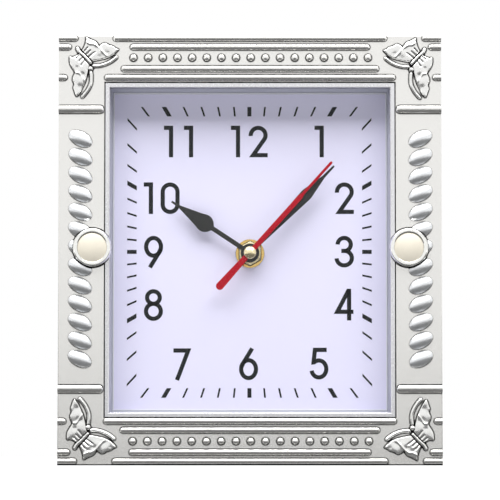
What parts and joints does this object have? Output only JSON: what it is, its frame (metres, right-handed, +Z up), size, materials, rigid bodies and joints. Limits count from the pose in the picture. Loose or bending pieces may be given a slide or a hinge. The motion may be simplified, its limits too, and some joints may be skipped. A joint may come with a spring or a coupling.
{
  "type": "photo frame clock",
  "caption": "Rectangular quartz clock in a silver relief-moulded frame, with a sunk lavender dial, spade hands, cream cabochons at the sides and a fold-out easel strut behind.",
  "frame": {"origin": "centre of the object's box, on the surface the case stands on", "axes": "+Z up, the dial faces -Y, +X to the right of someone reading the dial"},
  "size_m": [0.18, 0.0422, 0.202],
  "materials": {
    "silver_paint": "satin silver paint on moulded plastic",
    "bezel_silver": "pale satin silver",
    "surround_grey": "matte silver grey",
    "clear_pane": "clear and polished",
    "dial_card": "smooth lavender white print",
    "cream_stone": "polished cream",
    "bright_ring": "bright plated",
    "hand_black": "satin black",
    "hand_red": "satin red",
    "brass": "bright turned brass",
    "black_plastic": "fine matte texture",
    "wheel_plastic": "natural moulded",
    "black_rubber": "matte",
    "steel": "zinc plated",
    "copper_wire": "enamelled copper wire",
    "board_green": "solder mask",
    "cell_jacket": "plain printed steel jacket"
  },
  "bodies": {
    "case": {"front_frame": "silver_paint", "bezel": "bezel_silver", "dial_surround": "surround_grey", "lens": "clear_pane", "dial": "dial_card", "left_cabochon": "cream_stone", "right_cabochon": "cream_stone", "left_cabochon_ring": "bright_ring", "right_cabochon_ring": "bright_ring", "washer": "brass", "hex_nut": "brass", "centre_bush": "brass", "movement_case": "black_plastic", "rear_cover": "black_plastic", "back_panel": "black_plastic", "chip": "black_plastic", "gear_plate": "wheel_plastic", "bobbin": "wheel_plastic", "gasket": "black_rubber", "surround_screws": "steel", "panel_screws": "steel", "strut_pin": "steel", "stator": "steel", "coil_core": "steel", "crystal": "steel", "positive_contact": "steel", "negative_contact": "steel", "coil_winding": "copper_wire", "circuit_board": "board_green"},
    "strut_leg": {"strut": "black_plastic"},
    "hour_train": {"hour_hand": "hand_black", "hour_wheel": "wheel_plastic"},
    "minute_train": {"minute_hand": "hand_black", "minute_wheel": "wheel_plastic"},
    "seconds_train": {"second_hand": "hand_red", "hand_cap": "brass", "seconds_wheel": "wheel_plastic"},
    "motion_work": {"motion_wheel": "wheel_plastic"},
    "third_arbor": {"third_wheel": "wheel_plastic"},
    "intermediate_arbor": {"intermediate_wheel": "wheel_plastic"},
    "motor_rotor": {"rotor": "wheel_plastic"},
    "setting_knob": {"set_knob": "black_plastic"},
    "battery": {"cell": "cell_jacket"}
  },
  "joints": [
    {"name": "seconds_spin", "type": "hinge", "parent": "case", "child": "seconds_train", "pos_m": [0, 0, 0.1], "axis": [0, 1, 0], "continuous": true},
    {"name": "minute_spin", "type": "hinge", "parent": "case", "child": "minute_train", "pos_m": [0, 0, 0.1], "axis": [0, 1, 0], "continuous": true},
    {"name": "hour_spin", "type": "hinge", "parent": "case", "child": "hour_train", "pos_m": [0, 0, 0.1], "axis": [0, 1, 0], "continuous": true},
    {"name": "motion_spin", "type": "hinge", "parent": "case", "child": "motion_work", "pos_m": [0, 0, 0.1075], "axis": [0, 1, 0], "continuous": true},
    {"name": "knob_spin", "type": "hinge", "parent": "case", "child": "setting_knob", "pos_m": [-0.00406, 0, 0.11454], "axis": [0, 1, 0], "continuous": true},
    {"name": "third_spin", "type": "hinge", "parent": "case", "child": "third_arbor", "pos_m": [-0.00686, 0, 0.10396], "axis": [0, 1, 0], "continuous": true},
    {"name": "intermediate_spin", "type": "hinge", "parent": "case", "child": "intermediate_arbor", "pos_m": [0.00707, 0, 0.10408], "axis": [0, 1, 0], "continuous": true},
    {"name": "rotor_spin", "type": "hinge", "parent": "case", "child": "motor_rotor", "pos_m": [0.00888, 0, 0.11084], "axis": [0, 1, 0], "continuous": true},
    {"name": "strut_hinge", "type": "hinge", "parent": "case", "child": "strut_leg", "pos_m": [0, 0.0195, 0.064], "axis": [1, 0, 0], "range_deg": [0, 20]},
    {"name": "cell_slide", "type": "slide", "parent": "case", "child": "battery", "axis": [0, 1, 0], "range_m": [0, 0.03]}
  ],
  "couplings": [
    {"joint": "minute_spin", "follows": "seconds_spin", "ratio": 0.016667},
    {"joint": "hour_spin", "follows": "seconds_spin", "ratio": 0.0013889},
    {"joint": "motion_spin", "follows": "seconds_spin", "ratio": -0.0055556},
    {"joint": "knob_spin", "follows": "seconds_spin", "ratio": 0.0125},
    {"joint": "third_spin", "follows": "seconds_spin", "ratio": -0.125},
    {"joint": "intermediate_spin", "follows": "seconds_spin", "ratio": -5},
    {"joint": "rotor_spin", "follows": "seconds_spin", "ratio": 30}
  ]
}
